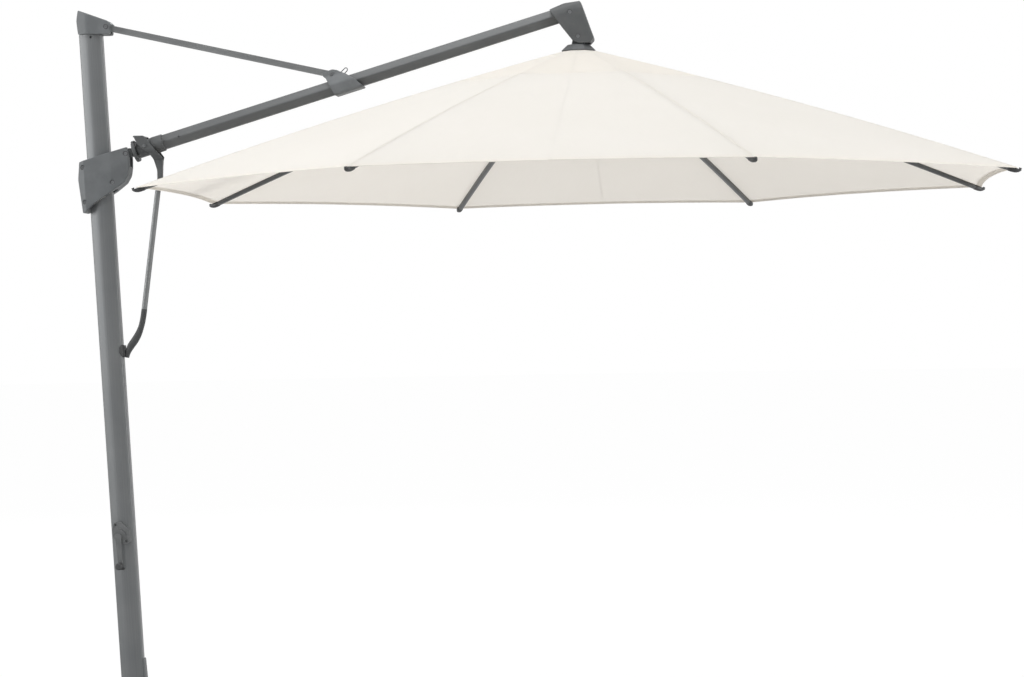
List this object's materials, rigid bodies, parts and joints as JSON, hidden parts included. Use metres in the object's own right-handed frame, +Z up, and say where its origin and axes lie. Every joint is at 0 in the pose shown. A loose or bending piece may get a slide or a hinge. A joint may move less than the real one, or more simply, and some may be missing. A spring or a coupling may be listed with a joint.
{
  "type": "cantilever parasol",
  "caption": "Free-arm garden parasol: octagonal ribbed canopy hung from a tie-rod arm on a leaning, swivelling mast with a sliding carriage.",
  "frame": {"origin": "centre of the four ground bolts, on the underside of the ground plate, which is also on the swivel axis", "axes": "+Z up the swivel axis, +X from the mast towards the canopy, +Y completes the right-handed frame; the crank and the parked lever's near side face -Y"},
  "size_m": [3.6005, 3.2264, 2.7932],
  "materials": {
    "graphite_profile": "anthracite powder-coated aluminium extrusion",
    "graphite_casting": "anthracite powder-coated aluminium casting",
    "black_plastic": "charcoal glass-filled nylon, fine grain",
    "bearing_plastic": "natural acetal glide plastic",
    "blackened_steel": "blackened stainless steel",
    "steel": "stainless steel",
    "painted_steel": "anthracite powder-coated steel plate",
    "canopy_cloth": "off-white woven acrylic canvas, water-repellent"
  },
  "bodies": {
    "foot": {"base_flange": "painted_steel", "swivel_spindle": "steel", "brake_ring": "steel"},
    "mast": {"mast_tube": "graphite_profile", "mast_foot": "graphite_casting", "swivel_bushes": "bearing_plastic", "mast_head": "graphite_casting", "rod_head_pin": "blackened_steel", "crank_housing": "black_plastic", "lever_clip": "black_plastic", "pedal_pin": "steel", "pedal_spring": "steel"},
    "pedal": {"foot_pedal": "black_plastic"},
    "rod": {"tie_rod": "graphite_profile"},
    "arm_base": {"arm_bracket": "graphite_casting", "bracket_pin": "blackened_steel", "bracket_loop": "steel", "arm_root": "graphite_casting", "tilt_collar": "graphite_casting"},
    "arm": {"arm_tube": "graphite_profile", "arm_bearings": "black_plastic", "root_sleeve": "graphite_casting", "head_bracket": "graphite_casting", "head_bolts": "blackened_steel", "lever_pins": "blackened_steel"},
    "lever": {"lever_yoke": "graphite_casting", "lever_tube": "graphite_profile", "lever_grip": "black_plastic"},
    "carriage": {"carriage_left": "graphite_casting", "carriage_right": "graphite_casting", "carriage_liners": "bearing_plastic", "carriage_bolts": "blackened_steel"},
    "crown": {"crown_cap": "graphite_casting", "hub": "graphite_casting", "centre_tube": "graphite_profile", "hub_pins": "steel", "canopy": "canopy_cloth"},
    "crank": {"crank_arm": "black_plastic", "rope_drum": "steel"},
    "knob": {"crank_knob": "black_plastic"},
    "runner": {"runner": "graphite_casting", "runner_pins": "steel"},
    "rib_1": {"rib_1": "graphite_profile"},
    "strut_1": {"strut_1": "graphite_profile"},
    "rib_2": {"rib_2": "graphite_profile"},
    "strut_2": {"strut_2": "graphite_profile"},
    "rib_3": {"rib_3": "graphite_profile"},
    "strut_3": {"strut_3": "graphite_profile"},
    "rib_4": {"rib_4": "graphite_profile"},
    "strut_4": {"strut_4": "graphite_profile"},
    "rib_5": {"rib_5": "graphite_profile"},
    "strut_5": {"strut_5": "graphite_profile"},
    "rib_6": {"rib_6": "graphite_profile"},
    "strut_6": {"strut_6": "graphite_profile"},
    "rib_7": {"rib_7": "graphite_profile"},
    "strut_7": {"strut_7": "graphite_profile"},
    "rib_8": {"rib_8": "graphite_profile"},
    "strut_8": {"strut_8": "graphite_profile"}
  },
  "joints": [
    {"name": "mast_swivel", "type": "hinge", "parent": "foot", "child": "mast", "pos_m": [0, 0, 0], "axis": [0, 0, 1], "continuous": true},
    {"name": "pedal_press", "type": "hinge", "parent": "mast", "child": "pedal", "pos_m": [0.082, 0, 0.084], "axis": [0, 1, 0], "range_deg": [0, 12], "stiffness_Nm_per_rad": 20, "springref_deg": -2.86},
    {"name": "arm_fold", "type": "hinge", "parent": "mast", "child": "rod", "pos_m": [-0.06599, 0, 2.72601], "axis": [0, 1, 0], "range_deg": [0, 54]},
    {"name": "bracket_swing", "type": "hinge", "parent": "rod", "child": "arm_base", "pos_m": [0.82594, 0, 2.51813], "axis": [0, -1, 0], "range_deg": [0, 109.2]},
    {"name": "carriage_swing", "type": "hinge", "parent": "arm_base", "child": "carriage", "pos_m": [0.00299, 0, 2.22496], "axis": [0, 1, 0], "range_deg": [0, 55.2]},
    {"name": "arm_tilt", "type": "hinge", "parent": "arm_base", "child": "arm", "pos_m": [0.00299, 0, 2.22496], "axis": [0.9606, 0, 0.2778], "range_deg": [-20, 20]},
    {"name": "lever_pull", "type": "hinge", "parent": "arm", "child": "lever", "pos_m": [0.08133, 0, 2.25283], "axis": [0, -1, 0], "range_deg": [0, 10]},
    {"name": "canopy_hang", "type": "hinge", "parent": "arm", "child": "crown", "pos_m": [1.797, 0, 2.636], "axis": [0, 1, 0], "range_deg": [0, 55.2]},
    {"name": "rib_1_fold", "type": "hinge", "parent": "crown", "child": "rib_1", "pos_m": [1.85428, 0.02373, 2.5678], "axis": [-0.3827, 0.9239, 0], "range_deg": [0, 69.2], "deforming": ["canopy"]},
    {"name": "brace_1_fold", "type": "hinge", "parent": "rib_1", "child": "strut_1", "pos_m": [2.35383, 0.23065, 2.41272], "axis": [0.3827, -0.9239, 0], "range_deg": [0, 138.4]},
    {"name": "runner_ride", "type": "hinge", "parent": "strut_1", "child": "runner", "pos_m": [1.85428, 0.02373, 2.25763], "axis": [-0.3827, 0.9239, 0], "range_deg": [0, 69.2]},
    {"name": "rib_2_fold", "type": "hinge", "parent": "crown", "child": "rib_2", "pos_m": [1.82073, 0.05728, 2.5678], "axis": [-0.9239, 0.3827, 0], "range_deg": [0, 69.2]},
    {"name": "brace_2_fold", "type": "hinge", "parent": "rib_2", "child": "strut_2", "pos_m": [2.02765, 0.55683, 2.41272], "axis": [0.9239, -0.3827, 0], "range_deg": [0, 138.4]},
    {"name": "rib_3_fold", "type": "hinge", "parent": "crown", "child": "rib_3", "pos_m": [1.77327, 0.05728, 2.5678], "axis": [-0.9239, -0.3827, 0], "range_deg": [0, 69.2]},
    {"name": "brace_3_fold", "type": "hinge", "parent": "rib_3", "child": "strut_3", "pos_m": [1.56635, 0.55683, 2.41272], "axis": [0.9239, 0.3827, 0], "range_deg": [0, 138.4]},
    {"name": "rib_4_fold", "type": "hinge", "parent": "crown", "child": "rib_4", "pos_m": [1.73972, 0.02373, 2.5678], "axis": [-0.3827, -0.9239, 0], "range_deg": [0, 69.2]},
    {"name": "brace_4_fold", "type": "hinge", "parent": "rib_4", "child": "strut_4", "pos_m": [1.24017, 0.23065, 2.41272], "axis": [0.3827, 0.9239, 0], "range_deg": [0, 138.4]},
    {"name": "rib_5_fold", "type": "hinge", "parent": "crown", "child": "rib_5", "pos_m": [1.73972, -0.02373, 2.5678], "axis": [0.3827, -0.9239, 0], "range_deg": [0, 69.2]},
    {"name": "brace_5_fold", "type": "hinge", "parent": "rib_5", "child": "strut_5", "pos_m": [1.24017, -0.23065, 2.41272], "axis": [-0.3827, 0.9239, 0], "range_deg": [0, 138.4]},
    {"name": "rib_6_fold", "type": "hinge", "parent": "crown", "child": "rib_6", "pos_m": [1.77327, -0.05728, 2.5678], "axis": [0.9239, -0.3827, 0], "range_deg": [0, 69.2]},
    {"name": "brace_6_fold", "type": "hinge", "parent": "rib_6", "child": "strut_6", "pos_m": [1.56635, -0.55683, 2.41272], "axis": [-0.9239, 0.3827, 0], "range_deg": [0, 138.4]},
    {"name": "rib_7_fold", "type": "hinge", "parent": "crown", "child": "rib_7", "pos_m": [1.82073, -0.05728, 2.5678], "axis": [0.9239, 0.3827, 0], "range_deg": [0, 69.2]},
    {"name": "brace_7_fold", "type": "hinge", "parent": "rib_7", "child": "strut_7", "pos_m": [2.02765, -0.55683, 2.41272], "axis": [-0.9239, -0.3827, 0], "range_deg": [0, 138.4]},
    {"name": "rib_8_fold", "type": "hinge", "parent": "crown", "child": "rib_8", "pos_m": [1.85428, -0.02373, 2.5678], "axis": [0.3827, 0.9239, 0], "range_deg": [0, 69.2]},
    {"name": "brace_8_fold", "type": "hinge", "parent": "rib_8", "child": "strut_8", "pos_m": [2.35383, -0.23065, 2.41272], "axis": [-0.3827, -0.9239, 0], "range_deg": [0, 138.4]},
    {"name": "crank_turn", "type": "hinge", "parent": "mast", "child": "crank", "pos_m": [-0.04976, 0, 0.71543], "axis": [0, -1, 0], "range_deg": [0, 2701]},
    {"name": "knob_spin", "type": "hinge", "parent": "crank", "child": "knob", "pos_m": [-0.04121, -0.068, 0.60121], "axis": [0, -1, 0], "continuous": true}
  ],
  "couplings": [
    {"joint": "bracket_swing", "follows": "arm_fold", "ratio": 2.02},
    {"joint": "carriage_swing", "follows": "arm_fold", "ratio": 1.02},
    {"joint": "canopy_hang", "follows": "arm_fold", "ratio": 1.02},
    {"joint": "rib_1_fold", "follows": "arm_fold", "ratio": 1.28},
    {"joint": "brace_1_fold", "follows": "arm_fold", "ratio": 2.56},
    {"joint": "runner_ride", "follows": "arm_fold", "ratio": 1.28},
    {"joint": "rib_2_fold", "follows": "arm_fold", "ratio": 1.28},
    {"joint": "brace_2_fold", "follows": "arm_fold", "ratio": 2.56},
    {"joint": "rib_3_fold", "follows": "arm_fold", "ratio": 1.28},
    {"joint": "brace_3_fold", "follows": "arm_fold", "ratio": 2.56},
    {"joint": "rib_4_fold", "follows": "arm_fold", "ratio": 1.28},
    {"joint": "brace_4_fold", "follows": "arm_fold", "ratio": 2.56},
    {"joint": "rib_5_fold", "follows": "arm_fold", "ratio": 1.28},
    {"joint": "brace_5_fold", "follows": "arm_fold", "ratio": 2.56},
    {"joint": "rib_6_fold", "follows": "arm_fold", "ratio": 1.28},
    {"joint": "brace_6_fold", "follows": "arm_fold", "ratio": 2.56},
    {"joint": "rib_7_fold", "follows": "arm_fold", "ratio": 1.28},
    {"joint": "brace_7_fold", "follows": "arm_fold", "ratio": 2.56},
    {"joint": "rib_8_fold", "follows": "arm_fold", "ratio": 1.28},
    {"joint": "brace_8_fold", "follows": "arm_fold", "ratio": 2.56},
    {"joint": "crank_turn", "follows": "arm_fold", "ratio": 50}
  ]
}
